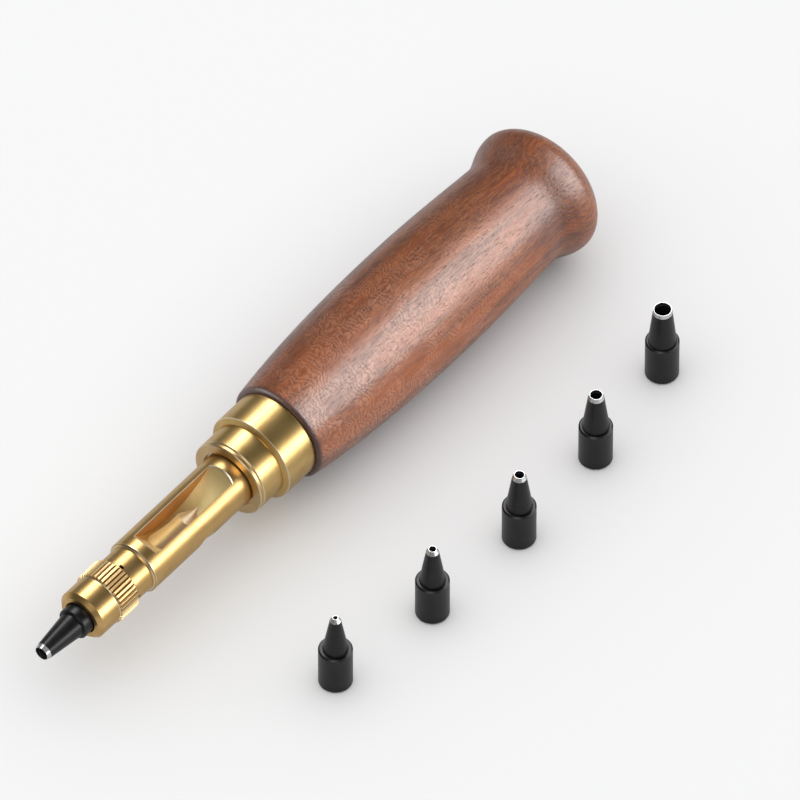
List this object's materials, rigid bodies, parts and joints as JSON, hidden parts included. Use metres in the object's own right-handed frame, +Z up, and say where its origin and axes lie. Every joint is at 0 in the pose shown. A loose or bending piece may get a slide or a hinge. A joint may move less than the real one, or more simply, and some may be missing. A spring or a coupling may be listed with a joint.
{
  "type": "automatic leather punch",
  "caption": "Hand punch for leather and paper: wooden handle, brass spindle that turns as it is pressed, chuck with a hollow tip, and loose spare tips.",
  "frame": {"origin": "middle of the underside of the whole layout: the tool lying on its side with its spare tips standing beside it", "axes": "+X along the tool from the cutting edge to the butt, +Y across, away from the spare tips, +Z up"},
  "size_m": [0.1642, 0.0652, 0.0294],
  "materials": {
    "varnished_wood": "satin varnish",
    "satin_brass": "satin turned",
    "black_steel": "black oxide, semi-gloss",
    "bright_steel": "plain",
    "fibre": "matt"
  },
  "bodies": {
    "handle_body": {"handle": "varnished_wood", "ferrule_sleeve": "satin_brass", "collar": "satin_brass", "guide_bush": "satin_brass", "buffer_washer": "fibre", "end_plug": "satin_brass", "drive_rod": "bright_steel", "rod_pin": "bright_steel", "rear_washer": "bright_steel", "return_spring": "bright_steel"},
    "spring_seat_body": {"spring_seat": "bright_steel"},
    "spindle_body": {"spindle": "satin_brass", "collet": "satin_brass", "drive_nut": "satin_brass", "drive_pin": "bright_steel"},
    "chuck_nut_body": {"chuck_nut": "satin_brass"},
    "punch_tip_body": {"punch_tip_3_0": "black_steel"},
    "spare_tip_1_0_body": {"spare_tip_1_0": "black_steel"},
    "spare_tip_1_5_body": {"spare_tip_1_5": "black_steel"},
    "spare_tip_2_0_body": {"spare_tip_2_0": "black_steel"},
    "spare_tip_2_5_body": {"spare_tip_2_5": "black_steel"},
    "spare_tip_3_5_body": {"spare_tip_3_5": "black_steel"}
  },
  "joints": [
    {"name": "spindle_press", "type": "slide", "parent": "handle_body", "child": "spring_seat_body", "axis": [1, 0, 0], "range_m": [0, 0.018], "stiffness_N_per_m": 900, "springref_m": -0.01, "deforming": ["return_spring"]},
    {"name": "spindle_turn", "type": "hinge", "parent": "spring_seat_body", "child": "spindle_body", "pos_m": [-0.0221, 0.0179, 0.0147], "axis": [1, 0, 0], "range_deg": [0, 90.2]},
    {"name": "chuck_nut_turn", "type": "hinge", "parent": "spindle_body", "child": "chuck_nut_body", "pos_m": [-0.0643, 0.0179, 0.0147], "axis": [-1, 0, 0], "range_deg": [0, 180]},
    {"name": "tip_pull", "type": "slide", "parent": "spindle_body", "child": "punch_tip_body", "axis": [-1, 0, 0], "range_m": [0, 0.022]},
    {"name": "spare_tip_1_0_lift", "type": "slide", "parent": "handle_body", "child": "spare_tip_1_0_body", "axis": [0, 0, 1], "range_m": [0, 0.03]},
    {"name": "spare_tip_1_5_lift", "type": "slide", "parent": "handle_body", "child": "spare_tip_1_5_body", "axis": [0, 0, 1], "range_m": [0, 0.03]},
    {"name": "spare_tip_2_0_lift", "type": "slide", "parent": "handle_body", "child": "spare_tip_2_0_body", "axis": [0, 0, 1], "range_m": [0, 0.03]},
    {"name": "spare_tip_2_5_lift", "type": "slide", "parent": "handle_body", "child": "spare_tip_2_5_body", "axis": [0, 0, 1], "range_m": [0, 0.03]},
    {"name": "spare_tip_3_5_lift", "type": "slide", "parent": "handle_body", "child": "spare_tip_3_5_body", "axis": [0, 0, 1], "range_m": [0, 0.03]}
  ],
  "couplings": [
    {"joint": "spindle_turn", "follows": "spindle_press", "rad_per_m": 87.266}
  ]
}
